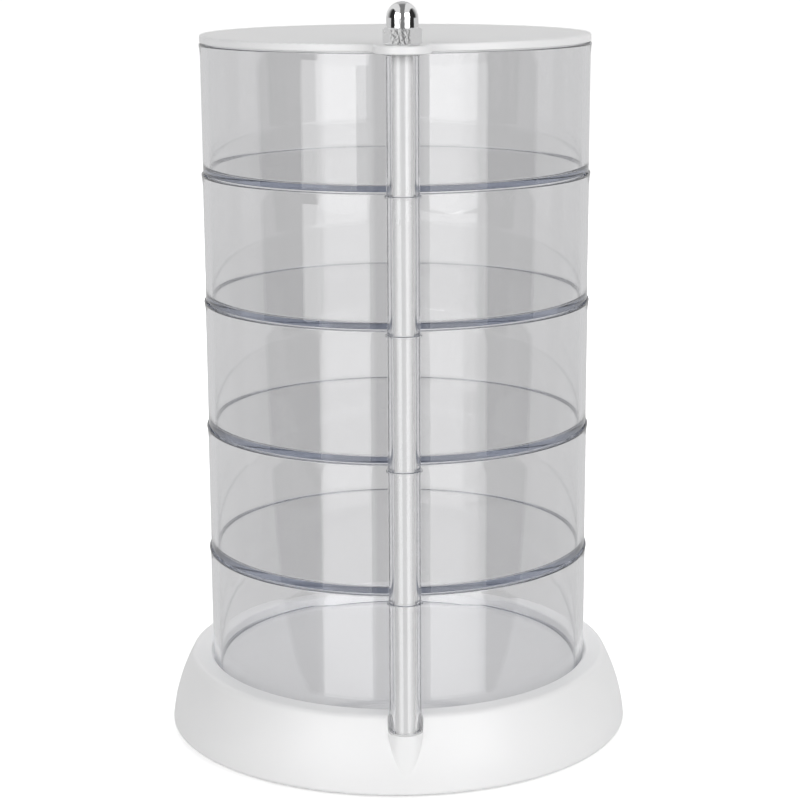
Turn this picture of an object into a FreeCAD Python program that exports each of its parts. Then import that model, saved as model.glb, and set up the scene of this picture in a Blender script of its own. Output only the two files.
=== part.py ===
"""Rotating storage box: clear round trays that swing round one rod, on a flared base, under a flat lid.

Millimetres. Z is up and the floor is z = 0. The base is centred on the Z axis, the rod stands at -Y.
"""
import enum
import math
import os

import FreeCAD
import Part
import Sketcher

SIZES = {
    # stack
    "tier_count": 5,
    "tier_pitch": 33.2,
    "rod_diameter": 4.9,
    "running_clearance": 0.08,
    # trays
    "tray_radius": 50.0,
    "tray_wall": 1.7,
    "tray_floor": 1.3,
    "tray_flare": 0.15,
    "rim_gap": 0.3,
    "lip_reach": 0.35,
    "lip_rise": 4.0,
    "tray_corner_round": 0.8,
    "tray_edge_round": 0.3,
    "sleeve_diameter": 8.0,
    "sleeve_stand_off": 2.0,
    "collar_reach": 0.4,
    "collar_height": 0.5,
    "web_width": 5.0,
    # base
    "rim_height": 19.0,
    "rim_width": 5.0,
    "skirt_flare": 5.8,
    "skirt_bulge": 2.3,
    "bulge_height": 9.5,
    "recess_depth": 3.6,
    "tray_seat_clearance": 0.4,
    "notch_clearance": 0.4,
    "boss_margin": 0.5,
    "skirt_wall": 2.2,
    "plate_thickness": 2.0,
    "ridge_round": 1.5,
    "rim_edge_round": 0.5,
    "foot_edge_round": 1.0,
    "pillar_width": 11.0,
    "pillar_depth": 7.0,
    "rib_count": 8,
    "rib_thickness": 1.8,
    "rib_height": 5.0,
    "hub_radius": 12.0,
    # rod seat and screw
    "socket_clearance": 0.05,
    "screw_web": 1.9,
    "screw_diameter": 2.9,
    "screw_clearance": 0.15,
    "screw_reach": 8.0,
    "screw_head_diameter": 5.6,
    "screw_head_height": 2.4,
    "screw_head_inset": 0.7,
    "screw_slot_length": 3.4,
    "screw_slot_width": 0.7,
    "screw_slot_depth": 1.3,
    "washer_overhang": 0.2,
    "washer_thickness": 0.5,
    "head_recess_clearance": 0.3,
    "tapped_hole_spare": 1.0,
    "rod_end_chamfer": 0.5,
    # lid
    "lid_overhang": 0.3,
    "lid_thickness": 2.0,
    "ear_margin": 2.8,
    "ear_blend": 2.5,
    "lid_top_round": 0.6,
    "lid_bottom_round": 0.3,
    # cap nut
    "nut_across_flats": 8.0,
    "nut_hex_height": 4.0,
    "nut_height": 10.0,
    "nut_dome_step": 0.25,
    "nut_crown": 2.5,
    "nut_bore_spare": 0.5,
    "nut_chamfer_inset": 0.15,
    "nut_turn": -8.0,
    # feet
    "pad_count": 4,
    "pad_radius": 5.0,
    "pad_inset": 11.4,
    "pad_stand_off": 0.6,
    "pad_socket_depth": 1.0,
    "pad_clearance": 0.2,
    "pad_boss_wall": 1.5,
    "pad_edge_chamfer": 0.3,
}

CONTROL_POINT = "InternalAlignment:Sketcher::BSplineControlPoint"
MIDDLE_POLE = 1
CHAMFER_SLOPE = math.tan(math.radians(30))
HEX_CORNER = 1 / math.sqrt(3)
FIRST_PAD_ANGLE = 45
CROSS_ARMS = 4
TOUCH = 1e-4


class SketchAxis(enum.IntEnum):
    """The numbers that a sketch gives to its own axes."""

    X = -1
    Y = -2


class PointOf(enum.IntEnum):
    """The numbers that a sketch gives to the points of a line, an arc or a circle."""

    START = 1
    END = 2
    CENTRE = 3


class Size:
    """A length: its expression over the spreadsheet's cells, and the value it has now."""

    def __init__(self, text, value):
        self.text = text
        self.value = value

    def __add__(self, other):
        other = as_size(other)
        return Size(f"({self.text} + {other.text})", self.value + other.value)

    def __sub__(self, other):
        other = as_size(other)
        return Size(f"({self.text} - {other.text})", self.value - other.value)

    def __mul__(self, factor):
        factor = as_size(factor)
        return Size(f"({self.text} * {factor.text})", self.value * factor.value)

    def __truediv__(self, divisor):
        divisor = as_size(divisor)
        return Size(f"({self.text} / {divisor.text})", self.value / divisor.value)

    def __neg__(self):
        return Size(f"(-{self.text})", -self.value)


def as_size(number):
    if isinstance(number, Size):
        return number
    return Size(f"({float(number)!r})", float(number))


doc = FreeCAD.newDocument("rotating_storage_box")
sheet = doc.addObject("Spreadsheet::Sheet", "dim")
dim = {}
for row, (alias, number) in enumerate(SIZES.items(), 1):
    sheet.set(f"A{row}", alias)
    sheet.set(f"B{row}", str(number))
    sheet.setAlias(f"B{row}", alias)
    dim[alias] = Size(f"dim.{alias}", float(number))
doc.recompute()


# Places and sizes that several pieces share
seat_height = dim["rim_height"] - dim["recess_depth"]
seat_z = dim["pad_stand_off"] + seat_height
plate_bottom = seat_height - dim["plate_thickness"]
lid_z = seat_z + dim["tier_pitch"] * dim["tier_count"]
nut_z = lid_z + dim["lid_thickness"]
wall_height = dim["tier_pitch"] - dim["rim_gap"]
rod_radius = dim["rod_diameter"] / 2
bore_radius = rod_radius + dim["running_clearance"]
socket_radius = rod_radius + dim["socket_clearance"]
sleeve_radius = dim["sleeve_diameter"] / 2
pivot_y = -(dim["tray_radius"] + dim["sleeve_stand_off"] + sleeve_radius)
notch_radius = sleeve_radius + dim["notch_clearance"]
boss_radius = sleeve_radius + dim["boss_margin"]
recess_radius = dim["tray_radius"] + dim["tray_seat_clearance"]
ridge_radius = recess_radius + dim["rim_width"]
foot_radius = ridge_radius + dim["skirt_flare"]
bulge_share = dim["bulge_height"] / dim["rim_height"]
bulge_radius = foot_radius - dim["skirt_flare"] * bulge_share + dim["skirt_bulge"]
screw_radius = dim["screw_diameter"] / 2
screw_hole_radius = screw_radius + dim["screw_clearance"]
screw_head_radius = dim["screw_head_diameter"] / 2
washer_radius = screw_head_radius + dim["washer_overhang"]
head_recess_radius = washer_radius + dim["head_recess_clearance"]
head_recess_depth = dim["screw_head_inset"] + dim["screw_head_height"] + dim["washer_thickness"]
socket_floor = head_recess_depth + dim["screw_web"]
washer_z = dim["pad_stand_off"] + head_recess_depth - dim["washer_thickness"]
pad_circle_radius = ridge_radius - dim["pad_inset"]
pad_socket_radius = dim["pad_radius"] + dim["pad_clearance"]


def bind(thing, prop, size):
    thing.setExpression(prop, as_size(size).text)


def new_body(label, z=0.0, x=0.0, y=0.0):
    body = doc.addObject("PartDesign::Body", label)
    body.Label = label
    for axis, size in (("x", x), ("y", y), ("z", z)):
        bind(body, f"Placement.Base.{axis}", size)
    return body


def origin_feature(body, role):
    return next(item for item in body.Origin.OriginFeatures if item.Role == role)


def new_sketch(body, name, plane, offset=None):
    sketch = body.newObject("Sketcher::SketchObject", name)
    sketch.AttachmentSupport = [(origin_feature(body, plane), "")]
    sketch.MapMode = "FlatFace"
    if offset is not None:
        bind(sketch, "AttachmentOffset.Base.z", offset)
    return sketch


def place_point(sketch, point, x, y, tag):
    """Hold a sketch point (geometry, position) at x, y, each tied to its expression."""
    origin = (SketchAxis.X, PointOf.START)
    rows = (("DistanceX", as_size(x), SketchAxis.Y, "x"), ("DistanceY", as_size(y), SketchAxis.X, "y"))
    for kind, size, axis, letter in rows:
        if size.value == 0:
            sketch.addConstraint(Sketcher.Constraint("PointOnObject", *point, axis))
            continue
        ends = (*origin, *point) if size.value > 0 else (*point, *origin)
        reach = size if size.value > 0 else -size
        index = sketch.addConstraint(Sketcher.Constraint(kind, *ends, reach.value))
        sketch.renameConstraint(index, f"{tag}_{letter}")
        bind(sketch, f"Constraints.{tag}_{letter}", reach)


def as_vector(x, y):
    return FreeCAD.Vector(as_size(x).value, as_size(y).value, 0)


def arc_through(start, end, radius):
    """The short counter-clockwise arc from start to end."""
    chord = end - start
    middle = (start + end) * 0.5
    left = FreeCAD.Vector(-chord.y, chord.x, 0).normalize()
    centre = middle + left * math.sqrt(radius ** 2 - (chord.Length / 2) ** 2)
    angles = [math.atan2(p.y - centre.y, p.x - centre.x) for p in (start, end)]
    circle = Part.Circle(centre, FreeCAD.Vector(0, 0, 1), radius)
    return Part.ArcOfCircle(circle, *angles)


def bent_line(start, pull, end):
    """A smooth curve that leaves start towards pull and comes into end from pull."""
    curve = Part.BezierCurve()
    curve.setPoles([start, pull, end])
    return curve.toBSpline()


def outline(sketch, corners, arcs=None, pulls=None):
    """A closed outline through the corners.

    arcs gives the radius of the edges that bulge to the right, and pulls the point that bends an edge.
    """
    arcs = arcs or {}
    pulls = pulls or {}
    points = [as_vector(*corner) for corner in corners]
    count = len(points)
    for i, start in enumerate(points):
        end = points[(i + 1) % count]
        if i in arcs:
            edge = arc_through(start, end, arcs[i].value)
        elif i in pulls:
            edge = bent_line(start, as_vector(*pulls[i]), end)
        else:
            edge = Part.LineSegment(start, end)
        sketch.addGeometry(edge, False)
    for i, pull in pulls.items():
        handle = sketch.addGeometry(Part.Circle(as_vector(*pull), FreeCAD.Vector(0, 0, 1), 1), True)
        sketch.addConstraint(Sketcher.Constraint(CONTROL_POINT, handle, PointOf.CENTRE, i, MIDDLE_POLE))
        place_point(sketch, (handle, PointOf.CENTRE), *pull, f"pull_{i}")
    for i, (x, y) in enumerate(corners):
        before = (i - 1) % count
        sketch.addConstraint(Sketcher.Constraint("Coincident", before, PointOf.END, i, PointOf.START))
        place_point(sketch, (i, PointOf.START), x, y, f"corner_{i}")
    for i, radius in arcs.items():
        index = sketch.addConstraint(Sketcher.Constraint("Radius", i, radius.value))
        sketch.renameConstraint(index, f"arc_{i}")
        bind(sketch, f"Constraints.arc_{i}", radius)


def circles(sketch, radii, x=0.0, y=0.0):
    for number, radius in enumerate(radii):
        shape = Part.Circle(as_vector(x, y), FreeCAD.Vector(0, 0, 1), radius.value)
        geometry = sketch.addGeometry(shape, False)
        place_point(sketch, (geometry, PointOf.CENTRE), x, y, f"centre_{number}")
        index = sketch.addConstraint(Sketcher.Constraint("Radius", geometry, radius.value))
        sketch.renameConstraint(index, f"radius_{number}")
        bind(sketch, f"Constraints.radius_{number}", radius)


def rectangle(sketch, width, y_low, y_high):
    half = width / 2
    outline(sketch, [(-half, y_low), (half, y_low), (half, y_high), (-half, y_high)])


def new_feature(body, kind, name):
    """A feature that leaves its faces as they are: merging them breaks the curved skirt."""
    feature = body.newObject(f"PartDesign::{kind}", name)
    feature.Refine = False
    return feature


def revolve(body, name, corners, arcs=None, pulls=None, cut=False):
    sketch = new_sketch(body, f"{name}_profile", "XZ_Plane")
    outline(sketch, corners, arcs, pulls)
    feature = new_feature(body, "Groove" if cut else "Revolution", name)
    feature.Profile = sketch
    feature.ReferenceAxis = (sketch, ["V_Axis"])
    feature.Angle = 360
    finish_feature(body, feature, cut)
    return feature


def extrude(body, name, sketch, length, cut=False, upward=True, both_ways=False):
    feature = new_feature(body, "Pocket" if cut else "Pad", name)
    feature.Profile = sketch
    feature.Reversed = upward == cut
    feature.SideType = "Symmetric" if both_ways else "One side"
    bind(feature, "Length", length)
    finish_feature(body, feature, cut)
    return feature


def finish_feature(body, feature, cut):
    """Recompute, and stop if a cut took nothing away or an addition added nothing."""
    base = feature.BaseFeature
    before = base.Shape.Volume if base else 0.0
    doc.recompute()
    change = feature.Shape.Volume - before
    if (change >= 0) if cut else (change <= 0):
        raise RuntimeError(f"{body.Label}: {feature.Name} changed nothing")


def round_edges(body, name, radius, wanted):
    base = body.Tip
    names = [f"Edge{i}" for i, edge in enumerate(base.Shape.Edges, 1) if wanted(edge)]
    if not names:
        raise RuntimeError(f"{body.Label}: no edge for {name}")
    feature = new_feature(body, "Fillet", name)
    feature.Base = (base, names)
    bind(feature, "Radius", radius)
    doc.recompute()
    return feature


def polar_copies(body, name, features, count):
    pattern = new_feature(body, "PolarPattern", name)
    pattern.Originals = features
    pattern.Axis = (origin_feature(body, "Z_Axis"), [""])
    pattern.Angle = 360
    bind(pattern, "Occurrences", count)
    body.Tip = pattern
    doc.recompute()
    return pattern


def ring_at(radius, z):
    """A test for the circular edge of this radius and height round the body's own axis."""
    def wanted(edge):
        curve = edge.Curve
        if not isinstance(curve, Part.Circle) or abs(curve.Radius - radius.value) > TOUCH:
            return False
        on_axis = math.hypot(curve.Center.x, curve.Center.y) < TOUCH
        return on_axis and abs(curve.Center.z - as_size(z).value) < TOUCH
    return wanted


def in_plane(z, apart_from_radius):
    """A test for the edges at height z, apart from holes of one radius."""
    def wanted(edge):
        box = edge.BoundBox
        level = as_size(z).value
        curve = edge.Curve
        flat = abs(box.ZMin - level) < TOUCH and abs(box.ZMax - level) < TOUCH
        hole = isinstance(curve, Part.Circle) and abs(curve.Radius - apart_from_radius.value) < TOUCH
        return flat and not hole
    return wanted


def upright_at(x, reach):
    """A test for upright edges at x = +x or -x that lie nearer to the Z axis than reach."""
    def wanted(edge):
        box = edge.BoundBox
        upright = box.XLength < TOUCH and box.YLength < TOUCH and box.ZLength > TOUCH
        near = math.hypot(box.Center.x, box.Center.y) < reach.value + TOUCH
        return upright and near and abs(abs(box.Center.x) - x.value) < TOUCH
    return wanted


def post(body, name, radius, z, height, x=0.0, y=0.0):
    sketch = new_sketch(body, f"{name}_sketch", "XY_Plane", z)
    circles(sketch, [radius], x, y)
    return extrude(body, name, sketch, height)


def hole(body, name, radius, z, depth, x=0.0, y=0.0, upward=True):
    sketch = new_sketch(body, f"{name}_sketch", "XY_Plane", z)
    circles(sketch, [radius], x, y)
    return extrude(body, name, sketch, depth, cut=True, upward=upward)


def pad_centre(number):
    turn = math.radians(FIRST_PAD_ANGLE + 360 / SIZES["pad_count"] * (number - 1))
    return pad_circle_radius * math.cos(turn), pad_circle_radius * math.sin(turn)


def base_skirt(body):
    rim = dim["rim_height"]
    wall = dim["skirt_wall"]
    revolve(body, "skirt", [
        (0, 0), (foot_radius, 0), (ridge_radius, rim),
        (recess_radius, rim), (recess_radius, seat_height), (0, seat_height),
    ], pulls={1: (bulge_radius, dim["bulge_height"])})
    round_edges(body, "ridge_rounding", dim["ridge_round"], ring_at(ridge_radius, rim))
    round_edges(body, "rim_rounding", dim["rim_edge_round"], ring_at(recess_radius, rim))
    round_edges(body, "foot_rounding", dim["foot_edge_round"], ring_at(foot_radius, 0))
    revolve(body, "underside", [
        (0, 0), (foot_radius - wall, 0), (ridge_radius, plate_bottom), (0, plate_bottom),
    ], pulls={1: (bulge_radius - wall, plate_bottom * bulge_share)}, cut=True)


def base_ribs(body):
    """A hub ring under the plate, with ribs that run out into the skirt."""
    low = plate_bottom - dim["rib_height"]
    wall = dim["skirt_wall"]
    hub = new_sketch(body, "hub_sketch", "XY_Plane", low)
    circles(hub, [dim["hub_radius"], dim["hub_radius"] - dim["rib_thickness"]])
    extrude(body, "hub", hub, dim["rib_height"])
    start = dim["hub_radius"] - dim["rib_thickness"] / 2
    profile = new_sketch(body, "rib_profile", "XZ_Plane")
    outline(profile, [(start, low), (ridge_radius + wall, low),
                      (ridge_radius + wall / 2, plate_bottom), (start, plate_bottom)])
    rib = extrude(body, "rib", profile, dim["rib_thickness"], both_ways=True)
    polar_copies(body, "ribs", [rib], dim["rib_count"])


def base_feet(body):
    x, y = pad_centre(1)
    boss = post(body, "pad_boss", pad_socket_radius + dim["pad_boss_wall"], 0, plate_bottom, x, y)
    socket = hole(body, "pad_socket", pad_socket_radius, 0, dim["pad_socket_depth"], x, y)
    polar_copies(body, "pad_bosses", [boss, socket], dim["pad_count"])


def base_pivot(body):
    """The notch that clears the lowest sleeve, and under it the boss that holds the rod and its screw."""
    hole(body, "sleeve_notch", notch_radius, seat_height, dim["recess_depth"], y=pivot_y)
    boss_low = dim["foot_edge_round"]
    post(body, "pivot_boss", boss_radius, boss_low, seat_height - boss_low, y=pivot_y)
    pillar = new_sketch(body, "pillar_sketch", "XY_Plane", 0)
    rectangle(pillar, dim["pillar_width"], pivot_y, pivot_y + dim["pillar_depth"])
    extrude(body, "pillar", pillar, plate_bottom)
    hole(body, "head_recess", head_recess_radius, 0, head_recess_depth, y=pivot_y)
    hole(body, "screw_hole", screw_hole_radius, head_recess_depth, dim["screw_web"], y=pivot_y)
    hole(body, "rod_socket", socket_radius, socket_floor, seat_height - socket_floor, y=pivot_y)


def make_base():
    body = new_body("base_shell", dim["pad_stand_off"])
    base_skirt(body)
    base_ribs(body)
    base_feet(body)
    base_pivot(body)
    return body


def make_tray(number):
    """One clear tray. All tiers are alike, and each stands on the sleeve of the one below."""
    body = new_body(f"tray_{number}", seat_z + dim["tier_pitch"] * (number - 1))
    outer = dim["tray_radius"] + dim["tray_flare"]
    inner = outer - dim["tray_wall"]
    inner_bottom = dim["tray_radius"] - dim["tray_wall"]
    lip = outer + dim["lip_reach"]
    mouth = inner + dim["lip_reach"]
    lip_low = wall_height - dim["lip_rise"]
    lip_bend = wall_height - dim["lip_rise"] / 2
    floor = dim["tray_floor"]
    revolve(body, "bowl", [
        (0, 0), (dim["tray_radius"], 0), (outer, lip_low), (lip, wall_height),
        (mouth, wall_height), (inner, lip_low), (inner_bottom, floor), (0, floor),
    ], pulls={2: (outer, lip_bend), 4: (inner, lip_bend)})
    round_edges(body, "corner_rounding", dim["tray_corner_round"], ring_at(inner_bottom, floor))
    for name, radius, z in (("bottom", dim["tray_radius"], 0), ("lip", lip, wall_height),
                            ("mouth", mouth, wall_height)):
        round_edges(body, f"{name}_rounding", dim["tray_edge_round"], ring_at(radius, z))
    web_low = dim["recess_depth"] + dim["notch_clearance"]
    web = new_sketch(body, "web_sketch", "XY_Plane", web_low)
    rectangle(web, dim["web_width"], pivot_y, dim["tray_wall"] / 2 - dim["tray_radius"])
    extrude(body, "web", web, wall_height - web_low)
    post(body, "sleeve", sleeve_radius, 0, dim["tier_pitch"], y=pivot_y)
    collar_z = dim["tier_pitch"] - dim["collar_height"]
    post(body, "collar", sleeve_radius + dim["collar_reach"], collar_z, dim["collar_height"], y=pivot_y)
    hole(body, "bore", bore_radius, 0, dim["tier_pitch"], y=pivot_y)
    return body


def make_lid():
    body = new_body("lid", lid_z)
    thickness = dim["lid_thickness"]
    radius = dim["tray_radius"] + dim["lid_overhang"]
    ear = sleeve_radius + dim["ear_margin"]
    post(body, "disc", radius, 0, thickness)
    neck = new_sketch(body, "neck_sketch", "XY_Plane", 0)
    rectangle(neck, ear * 2, pivot_y, 0)
    extrude(body, "neck", neck, thickness)
    round_edges(body, "ear_blend", dim["ear_blend"], upright_at(ear, radius))
    post(body, "ear", ear, 0, thickness, y=pivot_y)
    hole(body, "bore", bore_radius, 0, thickness, y=pivot_y)
    round_edges(body, "top_rounding", dim["lid_top_round"], in_plane(thickness, bore_radius))
    round_edges(body, "bottom_rounding", dim["lid_bottom_round"], in_plane(0, bore_radius))
    return body


def make_rod():
    """Rod from its socket in the base up into the cap nut, tapped at its lower end."""
    low = dim["pad_stand_off"] + socket_floor
    body = new_body("pivot_rod", low, y=pivot_y)
    length = nut_z + dim["nut_height"] - dim["nut_crown"] - dim["nut_bore_spare"] - low
    chamfer = dim["rod_end_chamfer"]
    tapped = dim["screw_reach"] + dim["tapped_hole_spare"]
    revolve(body, "rod", [
        (screw_hole_radius, 0), (rod_radius, 0), (rod_radius, length - chamfer),
        (rod_radius - chamfer, length), (0, length), (0, tapped), (screw_hole_radius, tapped),
    ])
    return body


def make_nut():
    body = new_body("acorn_nut", nut_z, y=pivot_y)
    bind(body, "Placement.Rotation.Yaw", dim["nut_turn"])
    flat = dim["nut_across_flats"] / 2
    corner = dim["nut_across_flats"] * HEX_CORNER
    hexagon = new_sketch(body, "hexagon", "XY_Plane")
    outline(hexagon, [(corner, 0), (corner / 2, flat), (-corner / 2, flat),
                      (-corner, 0), (-corner / 2, -flat), (corner / 2, -flat)])
    top = dim["nut_hex_height"]
    extrude(body, "hex", hexagon, top)
    start = flat - dim["nut_chamfer_inset"]
    drop = (corner - start) * CHAMFER_SLOPE
    revolve(body, "top_chamfer", [(start, top), (corner, top - drop), (corner, top)], cut=True)
    revolve(body, "bottom_chamfer", [(start, 0), (corner, 0), (corner, drop)], cut=True)
    dome = flat - dim["nut_dome_step"]
    height = dim["nut_height"]
    revolve(body, "dome", [(0, 0), (dome, 0), (dome, height - dome), (0, height)], {2: dome})
    hole(body, "bore", bore_radius, 0, height - dim["nut_crown"])
    return body


def make_screw():
    head = dim["screw_head_height"]
    body = new_body("base_screw", washer_z - head, y=pivot_y)
    tip = head + dim["washer_thickness"] + dim["screw_web"] + dim["screw_reach"]
    revolve(body, "screw", [
        (0, 0), (screw_head_radius, 0), (screw_head_radius, head),
        (screw_radius, head), (screw_radius, tip), (0, tip),
    ])
    slot = new_sketch(body, "slot_sketch", "XY_Plane")
    rectangle(slot, dim["screw_slot_width"], 0, dim["screw_slot_length"] / 2)
    arm = extrude(body, "slot", slot, dim["screw_slot_depth"], cut=True)
    polar_copies(body, "cross", [arm], CROSS_ARMS)
    return body


def make_washer():
    body = new_body("base_washer", washer_z, y=pivot_y)
    sketch = new_sketch(body, "ring_sketch", "XY_Plane")
    circles(sketch, [washer_radius, screw_hole_radius])
    extrude(body, "ring", sketch, dim["washer_thickness"])
    return body


def make_pad(number):
    body = new_body(f"foot_pad_{number}", 0, *pad_centre(number))
    radius = dim["pad_radius"]
    edge = dim["pad_edge_chamfer"]
    thickness = dim["pad_socket_depth"] + dim["pad_stand_off"]
    revolve(body, "pad", [(0, 0), (radius - edge, 0), (radius, edge), (radius, thickness), (0, thickness)])
    return body


def check(pieces):
    for item in doc.Objects:
        if {"Invalid", "Error"} & set(item.State):
            raise RuntimeError(f"{item.Label}: {item.State}")
    for piece in pieces:
        if piece.Shape.isNull() or not piece.Shape.isValid() or len(piece.Shape.Solids) != 1:
            raise RuntimeError(f"{piece.Label}: not one valid solid")


def main():
    pieces = [make_base(), make_lid(), make_rod(), make_nut(), make_screw(), make_washer()]
    pieces += [make_tray(number) for number in range(1, SIZES["tier_count"] + 1)]
    pieces += [make_pad(number) for number in range(1, SIZES["pad_count"] + 1)]
    doc.recompute()
    check(pieces)
    os.makedirs("parts", exist_ok=True)
    for piece in pieces:
        piece.Shape.exportStep(f"parts/{piece.Label}.step")
        box = piece.Shape.BoundBox
        print(f"{piece.Label}: {piece.Shape.Volume:.1f} mm3, z {box.ZMin:.2f} to {box.ZMax:.2f}")


main()
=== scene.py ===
"""Rotating storage box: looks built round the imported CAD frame. MM turns millimetres into metres."""
import math

import bmesh
import bpy
from mathutils import Matrix, Vector


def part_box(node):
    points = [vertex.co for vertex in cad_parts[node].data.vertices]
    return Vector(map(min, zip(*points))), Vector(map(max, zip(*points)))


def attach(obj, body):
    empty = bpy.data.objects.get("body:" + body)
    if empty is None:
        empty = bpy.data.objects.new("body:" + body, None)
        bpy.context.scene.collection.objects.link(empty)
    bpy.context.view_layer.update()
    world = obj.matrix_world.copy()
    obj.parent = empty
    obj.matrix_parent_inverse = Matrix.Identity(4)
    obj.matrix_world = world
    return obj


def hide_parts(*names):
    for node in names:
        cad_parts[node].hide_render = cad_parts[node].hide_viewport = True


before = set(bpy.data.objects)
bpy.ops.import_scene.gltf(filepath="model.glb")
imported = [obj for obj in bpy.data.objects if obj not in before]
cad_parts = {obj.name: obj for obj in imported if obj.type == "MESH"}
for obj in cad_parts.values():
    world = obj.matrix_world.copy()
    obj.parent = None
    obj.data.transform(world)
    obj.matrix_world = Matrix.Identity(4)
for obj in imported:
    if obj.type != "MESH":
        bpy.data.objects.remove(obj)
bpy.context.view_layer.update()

MM = 0.001
TIERS = 5
PADS = 4

# Clear trays, in millimetres as in the CAD
PITCH = 33.2
PIVOT_Y = -56.0
TRAY_RADIUS = 50.0
TRAY_WALL = 1.7
TRAY_FLOOR = 1.3
TRAY_FLARE = 0.15
RIM_GAP = 0.3
LIP_REACH = 0.35
LIP_RISE = 4.0
CORNER_ROUND = 0.8
EDGE_ROUND = 0.3
SLEEVE_RADIUS = 4.0
BORE_RADIUS = 2.53
COLLAR_REACH = 0.4
COLLAR_HEIGHT = 0.5
COLLAR_ROUND = 0.12
WEB_WIDTH = 5.0
WEB_LOW = 4.0
WEB_DROP = 0.08

# Scene alone: the air under a tray, and how far the bore's cutter passes the sleeve's ends
AIR_GAP = 0.05
CUTTER_SPARE = 1.0

# Mesh fineness
TRAY_SEGMENTS = 320
SLEEVE_SEGMENTS = 96
ROUND_STEPS = 5
BEND_STEPS = 8
HOLD = 0.05
SHARP_DEGREES = 28

# Camera that took the photograph, fitted to it
CAMERA_AT = (-16.728, -565.794, 212.091)
CAMERA_YAW = 0.0310
CAMERA_PITCH = -0.2004
CAMERA_ROLL = -0.0049
FOCAL_PIXELS = 2179.6
PRINCIPAL_ROW = 363.85
IMAGE_PIXELS = 800
SENSOR_MM = 36.0
CLIP_START = 0.01
CLIP_END = 50

# Materials: a noise is features per metre, detail and stretch, a relief is strength and distance
CLEAR_IOR = 1.56
CLEAR_NOISE = (45, 1.0, (1, 1, 0.25))
CLEAR_TINTS = ((0.945, 0.943, 0.945), (0.965, 0.963, 0.965))
CLEAR_DEPTH_COLOUR = (0.71, 0.73, 0.78, 1)
CLEAR_DEPTH_DENSITY = 42
LAMP_THROUGH_FACE = 0.95
WHITE_SPECULAR = 0.4
WHITE_PATCHES = (60, 2.0)
WHITE_GRAIN = (2600, 2.0)
WHITE_TINTS = ((0.85, 0.85, 0.855), (0.88, 0.88, 0.88))
WHITE_ROUGHNESS = (0.34, 0.44)
WHITE_RELIEF = (0.05, 0.0001)
STEEL_METALLIC = 0.4
STEEL_RINGS = (900, 2.0, (0.02, 0.02, 1))
STEEL_TINTS = ((0.63, 0.63, 0.63), (0.68, 0.68, 0.68))
STEEL_ROUGHNESS = (0.88, 0.96)
STEEL_RELIEF = (0.05, 0.0001)
CHROME_METALLIC = 1
CHROME_RIPPLES = (1100, 2.0)
CHROME_TINTS = ((0.80, 0.80, 0.81), (0.88, 0.88, 0.88))
CHROME_ROUGHNESS = (0.03, 0.08)
CHROME_RELIEF = (0.25, 0.0001)
RUBBER_GRAIN = (1500, 3.0)
RUBBER_TINTS = ((0.24, 0.24, 0.25), (0.34, 0.34, 0.35))
RUBBER_ROUGHNESS = (0.7, 0.9)
RUBBER_RELIEF = (0.2, 0.0002)

# Room: what polished surfaces see of it, to either side (0.5 is straight in front) and behind
ROOM_BY_SIDE = ((0.50, 0.22), (0.612, 0.22), (0.632, 0.82), (0.84, 0.82), (0.87, 0.03))
ROOM_BEHIND = ((0.55, 0.0), (0.80, 0.6))
ROOM_FILL = 0.03
RAMP_MIDDLE = 0.5

# Table top
FLOOR_DROP = 0.0002
FLOOR_FRONT = -0.075
FLOOR_REACH = 40.0
FLOOR_PATCHES = (3, 2.0)
FLOOR_TINTS = ((0.78, 0.78, 0.78), (0.82, 0.82, 0.82))
FLOOR_ROUGHNESS = 0.9
FLOOR_SPECULAR = 0.1
FLOOR_GLOW = 0.6
GLOW_FADE = (0.2, 0.7)
FLOOR_IN_GLASS = (0.66, 0.66, 0.662, 1)
UNDER_ONE_BOUNCE = 0.5

# Lamps: azimuth in degrees, low edge, high edge and width in metres, radiance
LAMP_DISTANCE = 1.3
PANELS = (
    ("left_panel_low", -32.0, -0.99, -0.03, 0.70, 1.2),
    ("right_panel_low", 34.75, -0.99, -0.03, 0.81, 1.2),
    ("left_strip", -52.0, -0.125, -0.03, 0.23, 1.7),
    ("left_panel", -40.5, -0.03, 0.21, 0.77, 1.7),
    ("right_panel", 34.75, -0.03, 0.21, 0.81, 1.7),
)
KEYS = (
    ("left_key", -35.5, 0.21, 1.01, 1.02, 3.8),
    ("right_key", 35.5, 0.21, 1.01, 0.77, 4.6),
)
FILLS = (
    ("left_fill", -95, 0.2, 1.0, 1.0, 0.9),
    ("right_fill", 95, 0.2, 1.0, 1.0, 2.1),
    ("back", 180, 0.7, 1.3, 1.4, 8.2),
)
BOUNCES = 64


def make_camera():
    yaw, pitch, roll = CAMERA_YAW, CAMERA_PITCH, CAMERA_ROLL
    forward = Vector((math.sin(yaw) * math.cos(pitch), math.cos(yaw) * math.cos(pitch), math.sin(pitch)))
    level = Vector((math.cos(yaw), -math.sin(yaw), 0))
    upward = level.cross(forward)
    right = level * math.cos(roll) + upward * math.sin(roll)
    up = upward * math.cos(roll) - level * math.sin(roll)
    data = bpy.data.cameras.new("photo_camera")
    data.sensor_fit = "HORIZONTAL"
    data.sensor_width = SENSOR_MM
    data.lens = FOCAL_PIXELS / IMAGE_PIXELS * SENSOR_MM
    data.shift_y = (PRINCIPAL_ROW - IMAGE_PIXELS / 2) / IMAGE_PIXELS
    data.clip_start = CLIP_START
    data.clip_end = CLIP_END
    camera = bpy.data.objects.new("photo_camera", data)
    turn = Matrix((right, up, -forward)).transposed().to_4x4()
    camera.matrix_world = Matrix.Translation(Vector(CAMERA_AT) * MM) @ turn
    bpy.context.scene.collection.objects.link(camera)
    bpy.context.scene.camera = camera


# Meshes

def link(name, mesh):
    piece = bpy.data.objects.new(name, mesh)
    bpy.context.scene.collection.objects.link(piece)
    return piece


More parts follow.
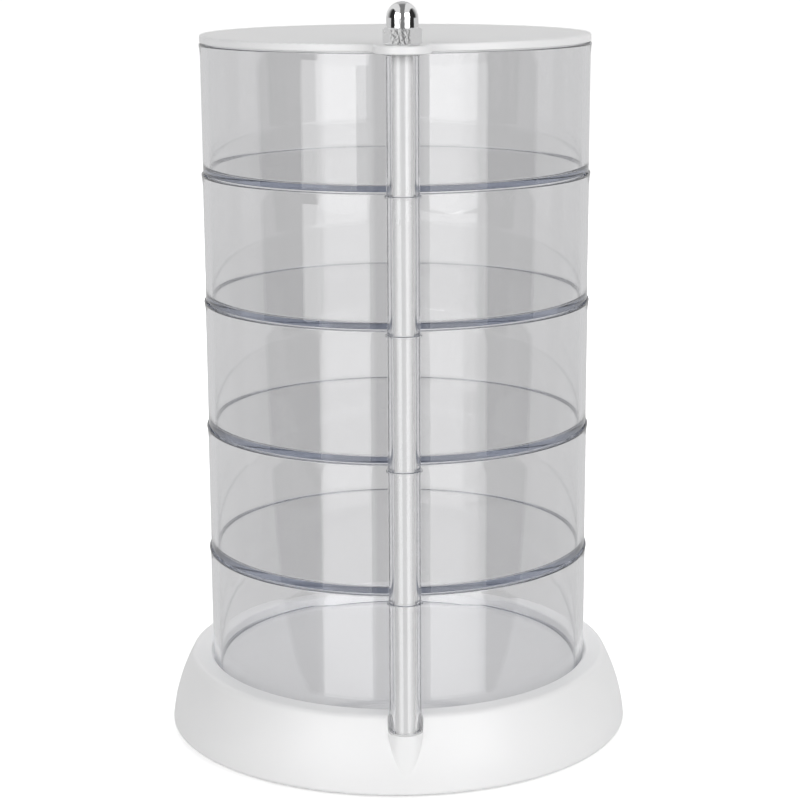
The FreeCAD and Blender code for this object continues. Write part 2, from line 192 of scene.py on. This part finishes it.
def bend(start, pull, end):
    """Unrounded corners along a smooth curve from start to end, both left out, drawn towards pull."""
    corners = []
    for step in range(1, BEND_STEPS):
        share = step / BEND_STEPS
        weights = ((1 - share) ** 2, 2 * share * (1 - share), share ** 2)
        r, z = (sum(w * p[k] for w, p in zip(weights, (start, pull, end))) for k in (0, 1))
        corners.append((r, z, 0))
    return corners


def rounded(corners):
    """The outline's corners (r, z, rounding) with each rounding drawn as a short arc.

    A point close to each end of an arc keeps the shading of the flat next to it flat.
    """
    points = []
    count = len(corners)
    for i, (r, z, radius) in enumerate(corners):
        here = Vector((r, z))
        if not radius:
            points.append((r, z))
            continue
        back = (Vector(corners[i - 1][:2]) - here).normalized()
        ahead = (Vector(corners[(i + 1) % count][:2]) - here).normalized()
        half = back.angle(ahead) / 2
        centre = here + (back + ahead).normalized() * (radius / math.sin(half))
        start = back * (radius / math.tan(half))
        end = ahead * (radius / math.tan(half))
        points.append(tuple(here + start + back * HOLD))
        for step in range(ROUND_STEPS + 1):
            share = step / ROUND_STEPS
            spoke = (here + start - centre).normalized().slerp((here + end - centre).normalized(), share)
            points.append(tuple(centre + spoke * radius))
        points.append(tuple(here + end + ahead * HOLD))
    return points


def lathe(profile, segments, centre_y=0.0):
    """A closed solid of (r, z) points, the first and last on the axis, turned round that upright axis."""
    bm = bmesh.new()
    rings = []
    for r, z in profile:
        spots = segments if r > 0 else 1
        ring = []
        for i in range(spots):
            turn = 2 * math.pi * i / segments
            x = r * math.cos(turn)
            y = centre_y + r * math.sin(turn)
            ring.append(bm.verts.new((x * MM, y * MM, z * MM)))
        rings.append(ring)
    for low, high in zip(rings, rings[1:]):
        for i in range(segments):
            j = (i + 1) % segments
            corners = [low[i % len(low)], low[j % len(low)], high[j % len(high)], high[i % len(high)]]
            bm.faces.new(list(dict.fromkeys(corners)))
    bmesh.ops.recalc_face_normals(bm, faces=bm.faces)
    return bm


def to_mesh(bm, name):
    mesh = bpy.data.meshes.new(name)
    bm.to_mesh(mesh)
    bm.free()
    return mesh


def block(half_x, y_low, y_high, z_low, z_high):
    bm = bmesh.new()
    bmesh.ops.create_cube(bm, size=1)
    size = Vector((2 * half_x, y_high - y_low, z_high - z_low)) * MM
    middle = Vector((0, (y_low + y_high) / 2, (z_low + z_high) / 2)) * MM
    for vert in bm.verts:
        vert.co = Vector(vert.co[k] * size[k] + middle[k] for k in range(3))
    return bm


def combine(mesh, other, operation):
    """One mesh of two closed solids, joined or cut."""
    first = link("first", mesh)
    second = link("second", other)
    modifier = first.modifiers.new("combine", "BOOLEAN")
    modifier.operation = operation
    modifier.solver = "EXACT"
    modifier.object = second
    shape = first.evaluated_get(bpy.context.evaluated_depsgraph_get())
    result = bpy.data.meshes.new_from_object(shape)
    for thing in (first, second):
        bpy.data.objects.remove(thing)
    return result


def tray_mesh():
    """A clear tray: a bowl with a flared rim, and outside it the web and the sleeve that runs on the rod.

    Its undersides clear what they rest on by a hair, because faces in one plane render in streaks.
    """
    rim = PITCH - RIM_GAP
    knee = rim - LIP_RISE
    pull = rim - LIP_RISE / 2
    wall = TRAY_RADIUS + TRAY_FLARE
    lip = wall + LIP_REACH
    inside = wall - TRAY_WALL
    bowl = to_mesh(lathe(rounded([
        (0, AIR_GAP, 0), (TRAY_RADIUS, AIR_GAP, EDGE_ROUND),
        (wall, knee, 0), *bend((wall, knee), (wall, pull), (lip, rim)), (lip, rim, EDGE_ROUND),
        (lip - TRAY_WALL, rim, EDGE_ROUND), *bend((lip - TRAY_WALL, rim), (inside, pull), (inside, knee)),
        (inside, knee, 0), (TRAY_RADIUS - TRAY_WALL, TRAY_FLOOR, CORNER_ROUND), (0, TRAY_FLOOR, 0),
    ]), TRAY_SEGMENTS), "bowl")
    in_wall = TRAY_WALL / 2 - TRAY_RADIUS
    web = to_mesh(block(WEB_WIDTH / 2, PIVOT_Y, in_wall, WEB_LOW, rim - WEB_DROP), "web")
    collar = SLEEVE_RADIUS + COLLAR_REACH
    under_collar = PITCH - COLLAR_HEIGHT
    sleeve = to_mesh(lathe(rounded([
        (0, AIR_GAP, 0), (SLEEVE_RADIUS, AIR_GAP, EDGE_ROUND), (SLEEVE_RADIUS, under_collar, 0),
        (collar, under_collar, COLLAR_ROUND), (collar, PITCH, COLLAR_ROUND), (0, PITCH, 0),
    ]), SLEEVE_SEGMENTS, PIVOT_Y), "sleeve")
    low, high = -CUTTER_SPARE, PITCH + CUTTER_SPARE
    bore = to_mesh(lathe([(0, low), (BORE_RADIUS, low), (BORE_RADIUS, high), (0, high)],
                         SLEEVE_SEGMENTS, PIVOT_Y), "bore")
    shape = combine(bowl, web, "UNION")
    shape = combine(shape, sleeve, "UNION")
    shape = combine(shape, bore, "DIFFERENCE")
    shape.name = "clear_tray"
    shape.shade_smooth()
    shape.set_sharp_from_angle(angle=math.radians(SHARP_DEGREES))
    return shape


# Materials

def new_material(name):
    material = bpy.data.materials.new(name)
    material.use_nodes = True
    nodes = material.node_tree.nodes
    return material, nodes, material.node_tree.links, nodes["Principled BSDF"]


def noise(nodes, links, scale, detail, stretch=(1, 1, 1)):
    """Noise in the object's own space, in features per metre."""
    place = nodes.new("ShaderNodeTexCoord")
    mapping = nodes.new("ShaderNodeMapping")
    mapping.inputs["Scale"].default_value = stretch
    texture = nodes.new("ShaderNodeTexNoise")
    texture.inputs["Scale"].default_value = scale
    texture.inputs["Detail"].default_value = detail
    links.new(place.outputs["Object"], mapping.inputs["Vector"])
    links.new(mapping.outputs["Vector"], texture.inputs["Vector"])
    return texture.outputs["Fac"]


def between(nodes, links, factor, low, high):
    """Factor spread over low to high."""
    spread = nodes.new("ShaderNodeMapRange")
    spread.inputs["To Min"].default_value = low
    spread.inputs["To Max"].default_value = high
    links.new(factor, spread.inputs["Value"])
    return spread.outputs["Result"]


def tint(nodes, links, factor, dark, light):
    ramp = nodes.new("ShaderNodeValToRGB")
    ramp.color_ramp.elements[0].color = (*dark, 1)
    ramp.color_ramp.elements[1].color = (*light, 1)
    links.new(factor, ramp.inputs["Fac"])
    return ramp.outputs["Color"]


def math_node(nodes, links, operation, *values):
    """The result of a Math node on sockets and plain numbers."""
    node = nodes.new("ShaderNodeMath")
    node.operation = operation
    for slot, value in zip(node.inputs, values):
        if isinstance(value, (int, float)):
            slot.default_value = value
        else:
            links.new(value, slot)
    return node.outputs["Value"]


def bump(nodes, links, height, shader, strength, distance):
    node = nodes.new("ShaderNodeBump")
    node.inputs["Strength"].default_value = strength
    node.inputs["Distance"].default_value = distance
    links.new(height, node.inputs["Height"])
    links.new(node.outputs["Normal"], shader.inputs["Normal"])


def switch(nodes, links, factor, usual, other):
    """The usual shader, or the other one where the factor is 1."""
    mix = nodes.new("ShaderNodeMixShader")
    links.new(factor, mix.inputs["Fac"])
    links.new(usual, mix.inputs[1])
    links.new(other, mix.inputs[2])
    return mix.outputs["Shader"]


def clear_plastic():
    """Clear moulded plastic: faintly uneven in tint, greyer through its depth, letting lamps through."""
    material, nodes, links, shader = new_material("clear_plastic")
    shader.inputs["Transmission Weight"].default_value = 1
    shader.inputs["IOR"].default_value = CLEAR_IOR
    shader.inputs["Roughness"].default_value = 0.0
    clouds = noise(nodes, links, *CLEAR_NOISE)
    links.new(tint(nodes, links, clouds, *CLEAR_TINTS), shader.inputs["Base Color"])
    lamp_light = nodes.new("ShaderNodeBsdfTransparent")
    lamp_light.inputs["Color"].default_value = (LAMP_THROUGH_FACE, LAMP_THROUGH_FACE, LAMP_THROUGH_FACE, 1)
    path = nodes.new("ShaderNodeLightPath")
    surface = switch(nodes, links, path.outputs["Is Shadow Ray"],
                     shader.outputs["BSDF"], lamp_light.outputs["BSDF"])
    links.new(surface, nodes["Material Output"].inputs["Surface"])
    depth = nodes.new("ShaderNodeVolumeAbsorption")
    depth.inputs["Color"].default_value = CLEAR_DEPTH_COLOUR
    depth.inputs["Density"].default_value = CLEAR_DEPTH_DENSITY
    links.new(depth.outputs["Volume"], nodes["Material Output"].inputs["Volume"])
    return material


def white_plastic():
    """White satin moulding."""
    material, nodes, links, shader = new_material("white_plastic")
    shader.inputs["Specular IOR Level"].default_value = WHITE_SPECULAR
    patches = noise(nodes, links, *WHITE_PATCHES)
    grain = noise(nodes, links, *WHITE_GRAIN)
    links.new(tint(nodes, links, patches, *WHITE_TINTS), shader.inputs["Base Color"])
    links.new(between(nodes, links, patches, *WHITE_ROUGHNESS), shader.inputs["Roughness"])
    bump(nodes, links, grain, shader, *WHITE_RELIEF)
    return material


def varied(name, pattern, tints, roughness, relief, metallic=0):
    """A material whose colour, roughness and relief all follow one noise."""
    material, nodes, links, shader = new_material(name)
    shader.inputs["Metallic"].default_value = metallic
    factor = noise(nodes, links, *pattern)
    links.new(tint(nodes, links, factor, *tints), shader.inputs["Base Color"])
    links.new(between(nodes, links, factor, *roughness), shader.inputs["Roughness"])
    bump(nodes, links, factor, shader, *relief)
    return material


def dress(node, material):
    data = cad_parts[node].data
    data.materials.clear()
    data.materials.append(material)


def build_object():
    clear = clear_plastic()
    white = white_plastic()
    steel = varied("satin_steel", STEEL_RINGS, STEEL_TINTS, STEEL_ROUGHNESS, STEEL_RELIEF, STEEL_METALLIC)
    rubber = varied("pad_rubber", RUBBER_GRAIN, RUBBER_TINTS, RUBBER_ROUGHNESS, RUBBER_RELIEF)
    chrome = varied("chrome", CHROME_RIPPLES, CHROME_TINTS, CHROME_ROUGHNESS, CHROME_RELIEF,
                    CHROME_METALLIC)
    for node in ("base_shell", "lid"):
        dress(node, white)
    for node in ("pivot_rod", "base_screw", "base_washer"):
        dress(node, steel)
    dress("acorn_nut", chrome)
    for number in range(1, PADS + 1):
        dress(f"foot_pad_{number}", rubber)
    mesh = tray_mesh()
    mesh.materials.clear()
    mesh.materials.append(clear)
    for number in range(1, TIERS + 1):
        tray = link(f"clear_tray_{number}", mesh)
        low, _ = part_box(f"tray_{number}")
        tray.location.z = low.z
        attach(tray, "stand" if number == 1 else f"tray_{number}")
        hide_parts(f"tray_{number}")


# Studio

def soft_box(name, azimuth, low, high, width, radiance, mirrored=True, through_trays=True):
    """An upright lamp panel, azimuth in degrees from straight in front towards +X, facing the object."""
    tall = high - low
    data = bpy.data.lights.new(name, "AREA")
    data.shape = "RECTANGLE"
    data.size = width
    data.size_y = tall
    data.energy = radiance * math.pi * width * tall
    lamp = bpy.data.objects.new(name, data)
    turn = math.radians(azimuth)
    toward = Vector((math.sin(turn), -math.cos(turn), 0))
    spot = toward * LAMP_DISTANCE + Vector((0, 0, (low + high) / 2))
    lamp.matrix_world = Matrix.Translation(spot) @ toward.to_track_quat("Z", "Y").to_matrix().to_4x4()
    lamp.visible_glossy = mirrored
    lamp.visible_transmission = through_trays
    bpy.context.scene.collection.objects.link(lamp)


def level_ramp(nodes, links, value, stops):
    """Light level by a direction's part along one axis, -1 to 1."""
    spread = nodes.new("ShaderNodeMapRange")
    spread.inputs["From Min"].default_value = -1
    links.new(value, spread.inputs["Value"])
    ramp = nodes.new("ShaderNodeValToRGB")
    elements = ramp.color_ramp.elements
    while len(elements) < len(stops):
        elements.new(RAMP_MIDDLE)
    for element, (position, level) in zip(elements, stops):
        element.position = position
        element.color = (level, level, level, 1)
    links.new(spread.outputs["Result"], ramp.inputs["Fac"])
    return ramp.outputs["Color"]


def make_world():
    """A dim room. Polished surfaces mirror its lighter walls, and the camera itself sees white."""
    world = bpy.data.worlds.new("studio")
    bpy.context.scene.world = world
    world.use_nodes = True
    nodes, links = world.node_tree.nodes, world.node_tree.links
    place = nodes.new("ShaderNodeTexCoord")
    split = nodes.new("ShaderNodeSeparateXYZ")
    links.new(place.outputs["Generated"], split.inputs["Vector"])
    either_side = math_node(nodes, links, "ABSOLUTE", split.outputs["X"])
    brightest = math_node(nodes, links, "MAXIMUM", level_ramp(nodes, links, either_side, ROOM_BY_SIDE),
                          level_ramp(nodes, links, split.outputs["Y"], ROOM_BEHIND))
    fill = nodes["Background"]
    fill.inputs["Color"].default_value = (ROOM_FILL, ROOM_FILL, ROOM_FILL, 1)
    room = nodes.new("ShaderNodeBackground")
    links.new(brightest, room.inputs["Color"])
    white = nodes.new("ShaderNodeBackground")
    white.inputs["Color"].default_value = (1, 1, 1, 1)
    path = nodes.new("ShaderNodeLightPath")
    surface = fill.outputs["Background"]
    for ray, shader in (("Is Glossy Ray", room), ("Is Camera Ray", white)):
        surface = switch(nodes, links, path.outputs[ray], surface, shader.outputs["Background"])
    links.new(surface, nodes["World Output"].inputs["Surface"])


def floor_material():
    """A pale table top. Seen straight it is white, in and through the trays it is pale grey.

    In front of the object, lamp light and rays that have bounced pass through it, so the trays mirror
    the low panels.
    """
    material, nodes, links, shader = new_material("pale_floor")
    shader.inputs["Roughness"].default_value = FLOOR_ROUGHNESS
    shader.inputs["Specular IOR Level"].default_value = FLOOR_SPECULAR
    patches = noise(nodes, links, *FLOOR_PATCHES)
    links.new(tint(nodes, links, patches, *FLOOR_TINTS), shader.inputs["Base Color"])
    path = nodes.new("ShaderNodeLightPath")
    place = nodes.new("ShaderNodeTexCoord")
    distance = nodes.new("ShaderNodeVectorMath")
    distance.operation = "LENGTH"
    links.new(place.outputs["Object"], distance.inputs[0])
    glow = nodes.new("ShaderNodeMapRange")
    for name, value in zip(("From Min", "From Max", "To Min"), (*GLOW_FADE, FLOOR_GLOW)):
        glow.inputs[name].default_value = value
    links.new(distance.outputs["Value"], glow.inputs["Value"])
    seen = nodes.new("ShaderNodeEmission")
    straight = math_node(nodes, links, "MULTIPLY", path.outputs["Is Camera Ray"], glow.outputs["Result"])
    links.new(straight, seen.inputs["Strength"])
    lit = nodes.new("ShaderNodeAddShader")
    links.new(shader.outputs["BSDF"], lit.inputs[0])
    links.new(seen.outputs["Emission"], lit.inputs[1])
    in_glass = nodes.new("ShaderNodeEmission")
    in_glass.inputs["Color"].default_value = FLOOR_IN_GLASS
    solid = switch(nodes, links, path.outputs["Is Glossy Ray"],
                   lit.outputs["Shader"], in_glass.outputs["Emission"])
    split = nodes.new("ShaderNodeSeparateXYZ")
    links.new(place.outputs["Object"], split.inputs["Vector"])
    in_front = math_node(nodes, links, "LESS_THAN", split.outputs["Y"], FLOOR_FRONT)
    bounces = math_node(nodes, links, "ADD", path.outputs["Glossy Depth"], path.outputs["Diffuse Depth"])
    unbounced = math_node(nodes, links, "LESS_THAN", bounces, UNDER_ONE_BOUNCE)
    through = math_node(nodes, links, "MULTIPLY", path.outputs["Is Transmission Ray"], unbounced)
    looked_at = math_node(nodes, links, "MAXIMUM", path.outputs["Is Camera Ray"], through)
    not_looked_at = math_node(nodes, links, "SUBTRACT", 1, looked_at)
    passed = math_node(nodes, links, "MULTIPLY", in_front, not_looked_at)
    clear = nodes.new("ShaderNodeBsdfTransparent")
    surface = switch(nodes, links, passed, solid, clear.outputs["BSDF"])
    links.new(surface, nodes["Material Output"].inputs["Surface"])
    return material


def make_floor():
    bm = bmesh.new()
    bmesh.ops.create_grid(bm, x_segments=1, y_segments=1, size=FLOOR_REACH)
    floor = link("floor", to_mesh(bm, "floor"))
    floor.location.z = -FLOOR_DROP
    floor.data.materials.append(floor_material())


def make_studio():
    make_world()
    make_floor()
    for panel in PANELS:
        soft_box(*panel)
    for key in KEYS:
        soft_box(*key, through_trays=False)
    for fill in FILLS:
        soft_box(*fill, mirrored=False, through_trays=False)
    scene = bpy.context.scene
    scene.view_settings.view_transform = "Standard"
    scene.cycles.max_bounces = BOUNCES
    scene.cycles.transmission_bounces = BOUNCES
    scene.cycles.glossy_bounces = BOUNCES
    scene.cycles.transparent_max_bounces = BOUNCES


def main():
    build_object()
    make_studio()
    make_camera()


main()
